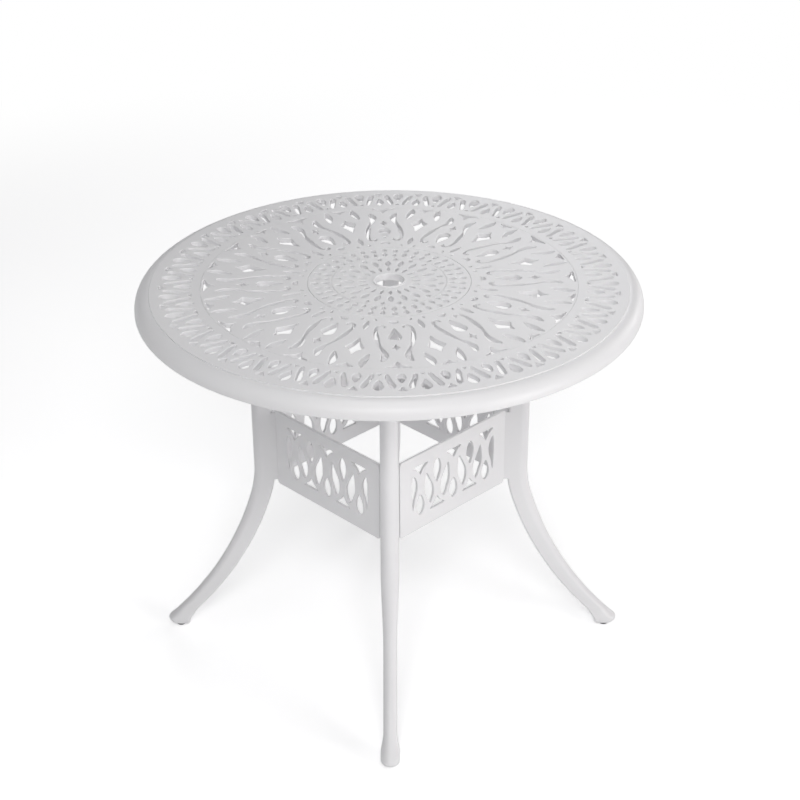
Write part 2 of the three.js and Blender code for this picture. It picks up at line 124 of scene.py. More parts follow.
sun_slot_shares = [(0.02, 0, 0), (0.06, 0, 0.15), (0.12, 0, 0.16), (0.18, 0, 0)]
sun_petal_shares = [(0.235, 0, 0), (0.29, 0, 0.17), (0.38, 0, 0.19), (0.47, 0, 0)]
sun_bead_shares = [(0.47, 0.5, 0), (0.5, 0.5, 0.12), (0.545, 0.5, 0.11), (0.58, 0.5, 0)]
sun_diamond_shares = [
    (0.66, 0.12, 0), (0.7, 0.12, 0.1), (0.75, 0.12, 0.125), (0.785, 0.12, 0.07), (0.82, 0.12, 0),
]
sun_low_diamond_shares = [(0.66, 0.62, 0), (0.69, 0.62, 0.08), (0.725, 0.62, 0.09), (0.77, 0.62, 0)]
sun_pearl_shares = [(0.86, 0.12, 0), (0.89, 0.12, 0.09), (0.95, 0.12, 0.1), (0.985, 0.12, 0)]
sun_low_pearl_shares = [(0.82, 0.62, 0), (0.86, 0.62, 0.09), (0.92, 0.62, 0.1), (0.96, 0.62, 0)]
sun_shares = [
    sun_slot_shares, sun_petal_shares, sun_bead_shares, sun_diamond_shares,
    sun_low_diamond_shares, sun_pearl_shares, sun_low_pearl_shares,
]


def smooth_loop(points, steps):
    """A closed smooth line through points in a plane, with so many steps from one to the next."""
    line = []
    for place in range(len(points)):
        before, start, end, after = (points[(place + shift) % len(points)] for shift in (-1, 0, 1, 2))
        first = (start - before).length ** 0.5
        second = first + (end - start).length ** 0.5
        third = second + (after - end).length ** 0.5
        for step in range(steps):
            at = first + (second - first) * step / steps
            left = before.lerp(start, at / first)
            middle = start.lerp(end, (at - first) / (second - first))
            right = end.lerp(after, (at - second) / (third - second))
            lower = left.lerp(middle, at / second)
            upper = middle.lerp(right, (at - first) / (third - first))
            line.append(lower.lerp(upper, (at - first) / (second - first)))
    return line


def opening(middle_points, half_widths):
    """A smooth opening round a line of points, as wide at each as its half-width says."""
    near, far = [], []
    for place, (point, half) in enumerate(zip(middle_points, half_widths)):
        behind = middle_points[max(place - 1, 0)]
        ahead = middle_points[min(place + 1, len(middle_points) - 1)]
        along = (ahead - behind).normalized()
        across = Vector((-along.y, along.x)) * half
        near.append(point + across)
        if half > 0:
            far.append(point - across)
    return smooth_loop(near + far[::-1], outline_steps)


def band_openings(shares, paired_shares, outer, inner, repeats, turn):
    """Every opening of a round band. The paired ones come twice in a repeat, as mirror images."""
    pitch = 2 * math.pi / repeats
    sided = [(line, 1) for line in shares + paired_shares] + [(line, -1) for line in paired_shares]
    found = []
    for repeat in range(repeats):
        for line, side in sided:
            radii = [inner + depth * (outer - inner) for depth, _, _ in line]
            angles = [math.radians(turn) + (repeat + side * across) * pitch for _, across, _ in line]
            points = [Vector((r * math.cos(a), r * math.sin(a))) for r, a in zip(radii, angles)]
            halves = [half * pitch * r for (_, _, half), r in zip(line, radii)]
            found.append(opening(points, halves))
    return found


def circle(radius, count):
    """So many points, evenly round a circle."""
    turns = [2 * math.pi * place / count for place in range(count)]
    return [Vector((radius * math.cos(turn), radius * math.sin(turn))) for turn in turns]


def narrowing(outline, draft):
    """How far each point of an opening moves towards the one across from it, down to the foot."""
    moves = []
    for place, point in enumerate(outline):
        across = outline[-place] - point
        moves.append(across * min(draft / max(across.length, draft), most_draft_share))
    return moves


def pierced_plate(edges, bottom, top):
    """The shell of a plate from its edges, the outer one first, each with its rounding and its draft.
    The others are openings, and they narrow by their draft from head to foot."""
    outlines = []
    for number, (outline, rounding, draft) in enumerate(edges):
        ahead = outline[1:] + outline[:1]
        area = sum(a.x * b.y - b.x * a.y for a, b in zip(outline, ahead))
        moves = narrowing(outline, draft) if draft else [Vector((0, 0))] * len(outline)
        if (area > 0) != (number == 0):
            outline, moves = outline[::-1], moves[::-1]
        outlines.append((outline, moves, rounding))
    bends = [math.pi / 2 * step / bend_steps for step in range(bend_steps + 1)]
    rounds = [(1 - math.sin(bend), 1 - math.cos(bend)) for bend in bends]
    levels = [(inset, 0, top, -drop) for inset, drop in rounds]
    levels += [(inset, 1, bottom, drop) for inset, drop in reversed(rounds)]
    points, faces, first = [], [], 0
    cap, borders, owners = [], [], []
    for number, (outline, moves, rounding) in enumerate(outlines):
        count = len(outline)
        away = []
        for place in range(count):
            along = (outline[(place + 1) % count] - outline[place - 1]).normalized()
            away.append(Vector((along.y, -along.x)))
        for inset, share, height, rise in levels:
            points += [
                (*(point - out * inset * rounding + move * share), height + rise * rounding)
                for point, out, move in zip(outline, away, moves)
            ]
        for level in range(len(levels) - 1):
            for place in range(count):
                here = first + level * count
                below = here + count
                ahead = (place + 1) % count
                faces.append((here + place, below + place, below + ahead, here + ahead))
        start = len(cap)
        cap += [(first + place, first + (len(levels) - 1) * count + place) for place in range(count)]
        borders += [(start + place, start + (place + 1) % count) for place in range(count)]
        owners += [number] * count
        first += len(levels) * count
    flat = [Vector(points[above][:2]) for above, _ in cap]
    _, _, pieces, origins, _, _ = delaunay_2d_cdt(flat, borders, [], 1, merge_distance, True)
    for piece in pieces:
        corners = [origins[corner][0] for corner in piece]
        falls = sum(ahead < here for here, ahead in zip(corners, corners[1:] + corners[:1]))
        # A triangle within an opening has its corners on that one outline, in backward order
        if falls == 2 and len({owners[corner] for corner in corners}) == 1:
            continue
        faces.append(tuple(cap[corner][0] for corner in corners))
        faces.append(tuple(cap[corner][1] for corner in reversed(corners)))
    return points, faces


def joined(*shells):
    """Several shells as one casting."""
    points, faces = [], []
    for more_points, more_faces in shells:
        faces += [tuple(corner + len(points) for corner in face) for face in more_faces]
        points += more_points
    return points, faces


def cast_mesh(name, shell, material, crease=40):
    """A mesh of one material, sharp only where its faces turn by more degrees than the crease."""
    mesh = bpy.data.meshes.new(name)
    points, faces = shell
    mesh.from_pydata(points, [], faces)
    mesh.shade_smooth()
    mesh.set_sharp_from_angle(angle=math.radians(crease))
    mesh.materials.append(material)
    return mesh


def show(name, mesh, stands_for, body="table", place=None):
    """A visible piece: it rides on a CAD body and is shown instead of the CAD nodes it stands for."""
    piece = bpy.data.objects.new(name, mesh)
    bpy.context.scene.collection.objects.link(piece)
    if place is not None:
        piece.matrix_world = place
    shading = piece.modifiers.new("broad faces flat", "WEIGHTED_NORMAL")
    shading.keep_sharp = True
    shading.weight = 90
    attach(piece, body)
    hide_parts(*stands_for)


class Wire:
    """A node's output in a material. Sums and products of wires and numbers add Math nodes."""

    def __init__(self, tree, output=None):
        self.tree = tree
        self.output = output

    def node(self, kind, settings=None, inputs=None, output=0):
        """Any other node: its settings are set first, and then its sockets' values or wires."""
        made = self.tree.nodes.new(kind)
        for name, value in (settings or {}).items():
            if name == "stops":
                for stop, (position, colour) in zip(made.color_ramp.elements, value):
                    stop.position = position
                    stop.color = colour
            else:
                setattr(made, name, value)
        for name, value in (inputs or {}).items():
            if isinstance(value, Wire):
                self.tree.links.new(value.output, made.inputs[name])
            else:
                made.inputs[name].default_value = value
        return Wire(self.tree, made.outputs[output] if made.outputs else None)

    def maths(self, operation, first, second):
        """A Math node of two wires or numbers."""
        return self.node("ShaderNodeMath", {"operation": operation}, {0: first, 1: second})

    def __add__(self, other):
        return self.maths("ADD", self, other)

    __radd__ = __add__

    def __mul__(self, other):
        return self.maths("MULTIPLY", self, other)

    __rmul__ = __mul__


def new_finish(name):
    """An empty material, and the wire that its nodes start from."""
    material = bpy.data.materials.new(name)
    material.use_nodes = True
    material.node_tree.nodes.clear()
    return material, Wire(material.node_tree)


def powder_coat():
    """White polyester powder: a cool white that drifts a little, with orange peel and cast waviness."""
    material, nodes = new_finish("white powder coat")
    place = nodes.node("ShaderNodeTexCoord", output="Object")
    drift = nodes.node("ShaderNodeTexNoise", None, {"Vector": place, "Scale": 7.0, "Detail": 2.0})
    thin = nodes.node("ShaderNodeTexNoise", None, {"Vector": place, "Scale": 60.0, "Detail": 4.0})
    peel = nodes.node("ShaderNodeTexNoise", None, {"Vector": place, "Scale": 420.0, "Detail": 2.0})
    wave = nodes.node("ShaderNodeTexNoise", None, {"Vector": place, "Scale": 24.0, "Detail": 1.0})
    shade = nodes.node(
        "ShaderNodeMix", {"data_type": "RGBA"},
        {0: drift * 0.7 + thin * 0.3, 6: (0.775, 0.772, 0.792, 1), 7: (0.815, 0.81, 0.815, 1)}, output=2,
    )
    relief = peel * 0.00006 + wave * 0.0004
    bump = nodes.node("ShaderNodeBump", None, {"Height": relief, "Strength": 1.0, "Distance": 1.0})
    surface = nodes.node(
        "ShaderNodeBsdfPrincipled", None,
        {"Base Color": shade, "Roughness": 0.36 + thin * 0.12, "IOR": 1.5, "Normal": bump},
    )
    nodes.node("ShaderNodeOutputMaterial", None, {"Surface": surface})
    return material


white_coat = powder_coat()
sun_openings = band_openings(sun_shares, [], sun_outer, sun_inner, sun_repeats, sun_turn)
rings = [
    ("tabletop_lace", plate_radius, plate_rounding, field_line + field_groove / 2, field_groove,
     band_openings(lace_shares, lace_paired_shares, lace_outer, lace_inner, lace_repeats, lace_turn)),
    ("tabletop_field", field_line - field_groove / 2, field_groove,
     disc_line + disc_groove / 2, disc_groove,
     band_openings(field_shares, field_paired_shares, field_outer, field_inner, field_repeats, field_turn)),
    ("tabletop_disc", disc_line - disc_groove / 2, disc_groove, sun_line + sun_groove / 2, sun_groove,
     [hole for hole in sun_openings if hole[0].length > sun_line]),
    ("tabletop_sun", sun_line - sun_groove / 2, sun_groove, collar_radius - collar_lap, sun_groove,
     [hole for hole in sun_openings if hole[0].length < sun_line]),
]
for name, outer, outer_rounding, inner, inner_rounding, holes in rings:
    edges = [(circle(outer, plate_facets), outer_rounding, 0)]
    edges.append((circle(inner, ring_facets), inner_rounding, 0))
    edges += [(hole, plate_rounding, plate_draft) for hole in holes]
    mesh = cast_mesh(name, pierced_plate(edges, plate_bottom, plate_top), white_coat)
    show(name, mesh, stands_for=["tabletop"])


# Rim, collar and ribs. They belong to the same casting as the plate: a rolled rim that hangs 31 mm
# down, a raised collar round the umbrella hole, and shallow webs that close the fine cast lines.

rim_step = 0.0021
rim_lap = 0.008
roll_height = 0.025
rim_bottom = plate_top - 0.031
rim_wall = 0.005
lip_radius = 0.0024
pole_hole_radius = 0.026
collar_bottom = plate_top - 0.011
collar_edge = 0.0012
rib_half_width = 0.002
rib_bottom = plate_bottom - 0.005
lace_rib = lace_inner - 0.005
web_half_width = 0.003
web_bottom = plate_bottom - 0.0006
web_top = plate_top - 0.0016
rim_facets, collar_facets, web_facets = 256, 96, 180
roll_steps, inner_roll_steps, lip_steps, collar_steps = 20, 14, 8, 5


def arc(centre_r, centre_z, radius_r, radius_z, start, end, steps):
    """Points of a round stretch of a profile, between two angles in degrees."""
    angles = [math.radians(start + (end - start) * step / steps) for step in range(steps + 1)]
    return [(centre_r + radius_r * math.cos(a), centre_z + radius_z * math.sin(a)) for a in angles]


def turned(profile, count):
    """The shell of a closed profile of (radius, height) points, anticlockwise, turned about Z."""
    points = []
    for turn in range(count):
        angle = 2 * math.pi * turn / count
        points += [(r * math.cos(angle), r * math.sin(angle), z) for r, z in profile]
    size = len(profile)
    faces = []
    for turn in range(count):
        here = turn * size
        there = (turn + 1) % count * size
        for place in range(size):
            ahead = (place + 1) % size
            faces.append((here + place, there + place, there + ahead, here + ahead))
    return points, faces


roll_top = plate_top - rim_step
roll_centre = roll_top - roll_height
roll_inner_reach = table_radius - rim_wall - plate_radius
lip_middle = table_radius - rim_wall / 2
rim_profile = (
    [(plate_radius - rim_lap, roll_top - rim_wall)]
    + arc(plate_radius, roll_centre, roll_inner_reach, roll_height - rim_wall, 90, 0, inner_roll_steps)
    + arc(lip_middle, rim_bottom + lip_radius, rim_wall / 2, lip_radius, 180, 360, lip_steps)
    + arc(plate_radius, roll_centre, table_radius - plate_radius, roll_height, 0, 90, roll_steps)
    + [(plate_radius - rim_lap, roll_top)]
)
edge_height = table_high.z - collar_edge
collar_profile = (
    [(pole_hole_radius, collar_bottom), (collar_radius, collar_bottom)]
    + arc(collar_radius - collar_edge, edge_height, collar_edge, collar_edge, 0, 90, collar_steps)
    + arc(pole_hole_radius + collar_edge, edge_height, collar_edge, collar_edge, 90, 180, collar_steps)
)
webs = []
for line, half_width, bottom in [
    (field_line, web_half_width, web_bottom), (disc_line, rib_half_width, rib_bottom),
    (sun_line, web_half_width, web_bottom), (lace_rib, rib_half_width, rib_bottom),
]:
    webs.append(turned([
        (line - half_width, bottom), (line + half_width, bottom),
        (line + half_width, web_top), (line - half_width, web_top),
    ], web_facets))
rim_shell = joined(turned(rim_profile, rim_facets), turned(collar_profile, collar_facets), *webs)
rim_mesh = cast_mesh("tabletop_rim", rim_shell, white_coat)
show("tabletop_rim", rim_mesh, stands_for=["tabletop"])


# Pads under the tabletop. Four cast pads, one over each leg, hold the blind holes that the leg's
# two head bolts screw into. They are cast with the plate.

pad_width, pad_length, pad_corner = 0.046, 0.082, 0.008
pad_bottom = plate_bottom - 0.008
cast_edge, cast_overlap, edge_spacing = 0.001, 0.001, 0.004
leg_axis_radius = 0.237
leg_angles = {
    corner: math.radians(-45 + 90 * place)
    for place, corner in enumerate(["front_right", "back_right", "back_left", "front_left"])
}


def cut_rectangle(length, width, corner):
    """A rectangle in a plane with cut corners, centred on its origin."""
    x, y = length / 2, width / 2
    corners = [(x, y - corner), (x - corner, y), (corner - x, y), (-x, y - corner)]
    corners += [(-a, -b) for a, b in corners]
    return [Vector(corner) for corner in corners]


def finely(outline, spacing):
    """The same outline with more points on its straight stretches, so that its edges can bend."""
    points = []
    for place, start in enumerate(outline):
        end = outline[(place + 1) % len(outline)]
        count = max(1, round((end - start).length / spacing))
        points += [start.lerp(end, step / count) for step in range(count)]
    return points


def moved(shell, matrix):
    """The same shell at another place."""
    points, faces = shell
    return [tuple(matrix @ Vector(point)) for point in points], faces


pad_outline = finely(cut_rectangle(pad_width, pad_length, pad_corner), edge_spacing)
pad = pierced_plate([(pad_outline, cast_edge, 0)], pad_bottom, plate_bottom + cast_overlap)
pad_shells = [
    moved(pad, Matrix.Rotation(angle, 4, "Z") @ Matrix.Translation((leg_axis_radius, 0, 0)))
    for angle in leg_angles.values()
]
pad_mesh = cast_mesh("tabletop_pads", joined(*pad_shells), white_coat)
show("tabletop_pads", pad_mesh, stands_for=["tabletop"])


# Legs. Four alike castings, half-round in front and flat behind, that run down straight behind the
# aprons and then sweep out to a small bulbed foot. Each has a head plate for the tabletop's bolts
# and a corner block that the aprons' bolts screw into.

leg_low, leg_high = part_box("leg_front_right")
head_top = leg_high.z
head_thickness = 0.008
leg_outer = 0.257
leg_depth, lower_leg_depth = 0.040, 0.037
leg_width, upper_leg_width, lower_leg_width = 0.0335, 0.031, 0.0248
leg_corner = 0.005
apron_low, apron_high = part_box("apron_front")
shoulder_length = 0.016
bend_start = 0.366
knee_radius, knee_angle = 0.215, math.radians(16)
sweep_radius = 0.640
taper_top, taper_bottom = 0.300, 0.165
neck_height = 0.040
instep_height, instep_setback, instep_width, instep_depth = 0.029, 0.0005, 0.0292, 0.0395
foot_tip_height, foot_width, foot_depth = 0.018, 0.034, 0.044
under_height, under_setback = 0.010, 0.0012
under_width, under_depth = foot_width - 0.001, foot_depth - 0.003
sole_height = leg_low.z
sole_width, sole_depth, sole_setback, sole_edge = 0.022, 0.030, 0.008, 0.001
pocket_radius, pocket_top = 0.0043, sole_height + 0.026
block_inset, block_sunk = 0.006, 0.002
fit_gap = 0.0003
shaft_step, foot_steps, nose_steps, corner_steps = 0.008, 4, 16, 4


def leg_outside(height):
    """Radius of the leg's outer face at a height: straight, then a knee, then a long sweep."""
    drop = bend_start - height
    knee_drop = knee_radius * math.sin(knee_angle)
    if drop <= 0:
        return leg_outer
    if drop <= knee_drop:
        return leg_outer + knee_radius * (1 - math.cos(math.asin(drop / knee_radius)))
    lean = math.asin(math.sin(knee_angle) + (drop - knee_drop) / sweep_radius)
    knee_out = knee_radius * (1 - math.cos(knee_angle))
    return leg_outer + knee_out + sweep_radius * (math.cos(knee_angle) - math.cos(lean))


def eased(value, start, end):
    """0 up to start, 1 from end on, and a soft change between them."""
    share = min(1, max(0, (value - start) / (end - start)))
    return share * share * (3 - 2 * share)


def leg_level(height):
    """Outer radius, depth and width of the leg's shaft at a height."""
    shoulder = eased(height, apron_high.z, apron_high.z + shoulder_length)
    taper = eased(height, taper_bottom, taper_top)
    width = lower_leg_width + (leg_width - lower_leg_width) * taper
    width += (upper_leg_width - leg_width) * shoulder
    share = min(1, max(0, (height - neck_height) / (bend_start - neck_height)))
    return height, leg_outside(height), lower_leg_depth + (leg_depth - lower_leg_depth) * share, width


def leg_section(level):
    """Points round the leg at a level: a half-round nose, flat flanks and rounded inner corners."""
    height, outside, depth, width = level
    nose = width / 2
    inside = outside - depth
    front = arc(outside - nose, 0, nose, nose, -90, 90, nose_steps)
    left = arc(inside + leg_corner, nose - leg_corner, leg_corner, leg_corner, 90, 180, corner_steps)
    right = arc(inside + leg_corner, leg_corner - nose, leg_corner, leg_corner, 180, 270, corner_steps)
    return [Vector((x, y, height)) for x, y in front + left + right]


def lofted(rings):
    """The closed shell through rings with the same number of points, from the top one down."""
    count = len(rings[0])
    points = [tuple(point) for ring in rings for point in ring]
    faces = []
    for level in range(len(rings) - 1):
        for place in range(count):
            here, below = level * count, (level + 1) * count
            ahead = (place + 1) % count
            faces.append((here + place, below + place, below + ahead, here + ahead))
    faces.append(tuple(range(count)))
    faces.append(tuple(reversed(range(len(points) - count, len(points)))))
    return points, faces


def through(levels, steps):
    """Smooth stations through a few chosen ones."""
    found = []
    for place in range(len(levels) - 1):
        picks = [levels[min(max(place + shift, 0), len(levels) - 1)] for shift in (-1, 0, 1, 2)]
        for step in range(steps):
            share = step / steps
            station = []
            for before, start, end, after in zip(*picks):
                slope = (end - before) * share
                bend = (2 * before - 5 * start + 4 * end - after) * share ** 2
                twist = (3 * start - before - 3 * end + after) * share ** 3
                station.append((2 * start + slope + bend + twist) / 2)
            found.append(tuple(station))
    return found + [levels[-1]]


foot_tip = leg_outside(foot_tip_height)
sole_outside = foot_tip - sole_setback
glide_radius = sole_outside - sole_depth / 2
shaft_top = head_top - head_thickness + cast_overlap
shaft_count = round((shaft_top - neck_height) / shaft_step)
shaft = [
    leg_level(shaft_top + (neck_height - shaft_top) * step / shaft_count)
    for step in range(shaft_count)
]
sole_lip_depth, sole_lip_width = sole_depth + 2 * sole_edge, sole_width + 2 * sole_edge
foot = through([
    leg_level(neck_height),
    (instep_height, leg_outside(instep_height) - instep_setback, instep_depth, instep_width),
    (foot_tip_height, foot_tip, foot_depth, foot_width),
    (under_height, foot_tip - under_setback, under_depth, under_width),
    (sole_height + sole_edge, sole_outside + sole_edge, sole_lip_depth, sole_lip_width),
    (sole_height, sole_outside, sole_depth, sole_width),
], foot_steps)
leg_rings = [leg_section(level) for level in shaft + foot]
pocket_ring = []
for point in leg_rings[-1]:
    angle = math.atan2(point.y, point.x - glide_radius)
    pocket_x = glide_radius + pocket_radius * math.cos(angle)
    pocket_ring.append(Vector((pocket_x, pocket_radius * math.sin(angle), sole_height)))
leg_rings += [pocket_ring, [Vector((point.x, point.y, pocket_top)) for point in pocket_ring]]
head_plate = pierced_plate([(pad_outline, cast_edge, 0)], head_top - head_thickness, head_top)
head_plate = moved(head_plate, Matrix.Translation((leg_axis_radius, 0, 0)))
block_apex = (apron_high.x + fit_gap) * math.sqrt(2)
flank_start = leg_outer - leg_depth + leg_corner
block_half = [
    (block_apex + leg_width / 2, -leg_width / 2), (flank_start, -leg_width / 2),
    (flank_start + block_sunk, block_sunk - leg_width / 2), (leg_axis_radius, block_sunk - leg_width / 2),
]
block_outline = [(block_apex, 0)] + block_half + [(x, -y) for x, y in reversed(block_half)]
block_edge = finely([Vector(corner) for corner in block_outline], edge_spacing)
block = pierced_plate([(block_edge, cast_edge, 0)], apron_low.z + block_inset, apron_high.z - block_inset)
leg_mesh = cast_mesh("leg", joined(lofted(leg_rings), head_plate, block), white_coat)
for corner, angle in leg_angles.items():
    name = f"leg_{corner}_casting"
    show(name, leg_mesh, stands_for=[f"leg_{corner}"], place=Matrix.Rotation(angle, 4, "Z"))


# Aprons. Four pierced castings that tie the legs into a square. Each has a plain border, a window
# of crossed and forked bars, and a flange at both ends for the bolts into the legs' corner blocks.

apron_thickness = 0.006
apron_face = -apron_low.y
apron_inner = apron_face - apron_thickness
apron_length = apron_high.x - apron_low.x
apron_height = apron_high.z - apron_low.z
apron_corner = 0.004
face_setback = 0.0006
apron_rounding, apron_spacing = 0.0012, 0.006
window_top = apron_high.z - 0.023
window_height = apron_height - 0.053
window_width = apron_length - 0.063
fret_columns = 5
flange_thickness, flange_reach, flange_inset = 0.006, 0.017, 0.006
flange_edge, flange_spacing = 0.0005, 0.003

# A fret outline is a ring of points, each with its share of the column's width from the column's
# middle and its share of the window's height from the top. The long leaves link two columns.
fork_top_shares = [(0, 0.19), (0.1, 0.135), (0.24, 0.07), (0.43, 0.018), (0.4, 0.002), (0.2, 0), (0, 0)]
leaf_low_shares = [(0, 0.6), (0.13, 0.68), (0.22, 0.79), (0.21, 0.9), (0.13, 0.97), (0, 1)]
leaf_high_shares = [(0, 0.5), (0.14, 0.39), (0.215, 0.27), (0.19, 0.15), (0.11, 0.07), (0, 0.035)]
fork_low_shares = [(0, 0.8), (0.1, 0.86), (0.24, 0.93), (0.43, 0.982), (0.4, 0.998), (0.2, 1), (0, 1)]
long_leaf_shares = [
    (0.35, 0.22), (0.48, 0.31), (0.62, 0.42), (0.75, 0.53), (0.79, 0.65), (0.73, 0.78), (0.6, 0.865),
    (0.5, 0.83), (0.38, 0.71), (0.27, 0.6), (0.25, 0.46), (0.28, 0.33),
]
end_leaf_shares = [
    (0.46, 0.17), (0.36, 0.19), (0.24, 0.28), (0.18, 0.38),
    (0.22, 0.52), (0.33, 0.64), (0.42, 0.82), (0.46, 0.86),
]


def mirror_of(shares):
    """The mirror image of an outline of shares, gone round the same way."""
    return [(-across, down) for across, down in reversed(shares)]


def both_sides(half):
    """A half outline from top to bottom of its middle line, with its mirror image."""
    return half + mirror_of([share for share in half if share[0] > 0])


def fret_holes():
    """Every opening of an apron: two in the middle of each column, and the leaves beside them."""
    pitch = window_width / fret_columns
    holes = []
    for column in range(fret_columns):
        middle = (column - (fret_columns - 1) / 2) * pitch
        if column % 2 == 0:
            outlines = [both_sides(fork_top_shares), both_sides(leaf_low_shares)]
            if column > 0:
                outlines.append(mirror_of(long_leaf_shares))
            if column < fret_columns - 1:
                outlines.append(long_leaf_shares)
        else:
            outlines = [both_sides(leaf_high_shares), both_sides(fork_low_shares)]
        if column == 0:
            outlines.append(mirror_of(end_leaf_shares))
        if column == fret_columns - 1:
            outlines.append(end_leaf_shares)
        for outline in outlines:
            holes.append(smooth_loop([
                Vector((middle + across * pitch, window_top - down * window_height))
                for across, down in outline
            ], outline_steps))
    return holes


upright = Matrix.Rotation(math.radians(90), 4, "X")
apron_middle = (apron_low.z + apron_high.z) / 2
face_length = apron_length - 2 * face_setback
apron_blank = cut_rectangle(face_length, apron_height, apron_corner)
apron_outline = finely([point + Vector((0, apron_middle)) for point in apron_blank], apron_spacing)
apron_edges = [(line, apron_rounding, 0) for line in [apron_outline] + fret_holes()]
apron_shells = [moved(pierced_plate(apron_edges, apron_inner, apron_face), upright)]
flange_height = apron_height - 2 * flange_inset
flange_low, flange_high = apron_middle - flange_height / 2, apron_middle + flange_height / 2
flange_blank = cut_rectangle(flange_thickness, flange_reach + cast_overlap, flange_edge)
flange_outline = finely(flange_blank, flange_spacing)
flange = pierced_plate([(flange_outline, flange_edge, 0)], flange_low, flange_high)
for end in (-1, 1):
    middle_x = end * (apron_length - flange_thickness) / 2
    middle_y = -apron_inner + (flange_reach - cast_overlap) / 2
    apron_shells.append(moved(flange, Matrix.Translation((middle_x, middle_y, 0))))
apron_mesh = cast_mesh("apron", joined(*apron_shells), white_coat)
apron_angles = {
    side: math.radians(90 * place)
    for place, side in enumerate(["front", "right", "back", "left"])
}
for side, angle in apron_angles.items():
    name = f"apron_{side}_casting"
    show(name, apron_mesh, stands_for=[f"apron_{side}"], place=Matrix.Rotation(angle, 4, "Z"))


# Bolts and washers. M6 hex bolts, 20 mm long, and plain washers in bright zinc plated steel hold
# the castings together. Their heads show only from below.

bolt_radius = 0.003
bolt_length = 0.020
head_apothem = 0.005
head_height = 0.004
head_overlap = 0.001
chamfer_angle, chamfer_share, face_share = math.radians(30), 0.98, 0.96
thread_pitch = 0.001
thread_depth = 0.00035
levels_per_turn = 4
washer_radius, washer_hole_radius, washer_thickness = 0.006, 0.00335, 0.0016
washer_edge = 0.0003
washer_facets, edge_steps = 40, 3


def zinc_plate():
    """Bright zinc on steel: blue-white, finely brushed by the plating, with faint yellow patches."""
    material, nodes = new_finish("bright zinc plate")
    place = nodes.node("ShaderNodeTexCoord", output="Object")
    patch = nodes.node("ShaderNodeTexNoise", None, {"Vector": place, "Scale": 300.0, "Detail": 3.0})
    grain = nodes.node("ShaderNodeTexNoise", None, {"Vector": place, "Scale": 2600.0, "Detail": 2.0})
    shade = nodes.node(
        "ShaderNodeMix", {"data_type": "RGBA"},
        {0: patch, 6: (0.58, 0.6, 0.63, 1), 7: (0.7, 0.69, 0.64, 1)}, output=2,
    )
    bump = nodes.node("ShaderNodeBump", None, {"Height": grain * 0.00001, "Strength": 1.0, "Distance": 1.0})
    surface = nodes.node(
        "ShaderNodeBsdfPrincipled", None,
        {"Base Color": shade, "Metallic": 1.0, "Roughness": 0.26 + patch * 0.16, "Normal": bump},
    )
    nodes.node("ShaderNodeOutputMaterial", None, {"Surface": surface})
    return material


def threaded_rod(radius, depth, pitch, bottom, top, count=16):
    """A closed rod along Z with a screw thread cut into it."""
    levels = round((top - bottom) / pitch) * levels_per_turn
    rings = []
    for level in range(levels, -1, -1):
        height = bottom + (top - bottom) * level / levels
        ring = []
        for place in range(count):
            turn = place / count
            ridge = abs((height / pitch - turn) % 1 * 2 - 1)
            reach = radius - depth * ridge
            angle = 2 * math.pi * turn
            ring.append(Vector((reach * math.cos(angle), reach * math.sin(angle), height)))
        rings.append(ring)
    return lofted(rings)


def hex_head(apothem, height, count=48):
    """A hexagon head below z = 0, with the corners of its outer face chamfered."""
    chamfer_radius = apothem * chamfer_share
    seat, side, face = [], [], []
    for place in range(count):
        angle = 2 * math.pi * place / count
        corner_turn = angle % (math.pi / 3) - math.pi / 6
        reach = apothem / math.cos(corner_turn)
        cut = max(0, reach - chamfer_radius) * math.tan(chamfer_angle)
        flat = Vector((math.cos(angle), math.sin(angle), 0))
        seat.append(flat * reach)
        side.append(flat * reach + Vector((0, 0, cut - height)))
        face.append(flat * chamfer_radius * face_share + Vector((0, 0, -height)))
    return lofted([seat, side, face])


zinc = zinc_plate()
bolt_mesh = cast_mesh("hex_bolt", joined(
    hex_head(head_apothem, head_height),
    threaded_rod(bolt_radius, thread_depth, thread_pitch, -head_overlap, bolt_length),
), zinc, crease=25)
washer_shoulder = washer_radius - washer_edge
washer_profile = (
    [(washer_hole_radius, 0)]
    + arc(washer_shoulder, washer_edge, washer_edge, washer_edge, -90, 0, edge_steps)
    + arc(washer_shoulder, washer_thickness - washer_edge, washer_edge, washer_edge, 0, 90, edge_steps)
    + [(washer_hole_radius, washer_thickness)]
)
washer_mesh = cast_mesh("washer", turned(washer_profile, washer_facets), zinc, crease=50)

for corner in leg_angles:
    for place in (1, 2):
        node = f"head_bolt_{corner}_{place}"
        low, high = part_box(node)
        seat = Vector(((low.x + high.x) / 2, (low.y + high.y) / 2, low.z + head_height))
        show(f"{node}_screw", bolt_mesh, stands_for=[node], place=Matrix.Translation(seat))

for side, angle in apron_angles.items():
    outward = Matrix.Rotation(angle, 3, "Z") @ Vector((1, 0, 0))
    for place in (1, 2, 3, 4):
        end = -1 if place < 3 else 1
        along = outward * end
        turn = Vector((0, 0, 1)).rotation_difference(along).to_matrix().to_4x4()
        for node, mesh, inset in [
            (f"apron_bolt_{side}_{place}", bolt_mesh, head_height),
            (f"washer_{side}_{place}", washer_mesh, 0),
        ]:
            low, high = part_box(node)
            middle = (low + high) / 2
            reach = abs((high - low).dot(along)) / 2
            seat = Matrix.Translation(middle - along * (reach - inset))
            show(f"{node}_piece", mesh, stands_for=[node], place=seat @ turn)


# Levelling glides. Black moulded nylon pads on M8 studs, one screwed into each foot. Only the pad
# shows until the glide is screwed out.

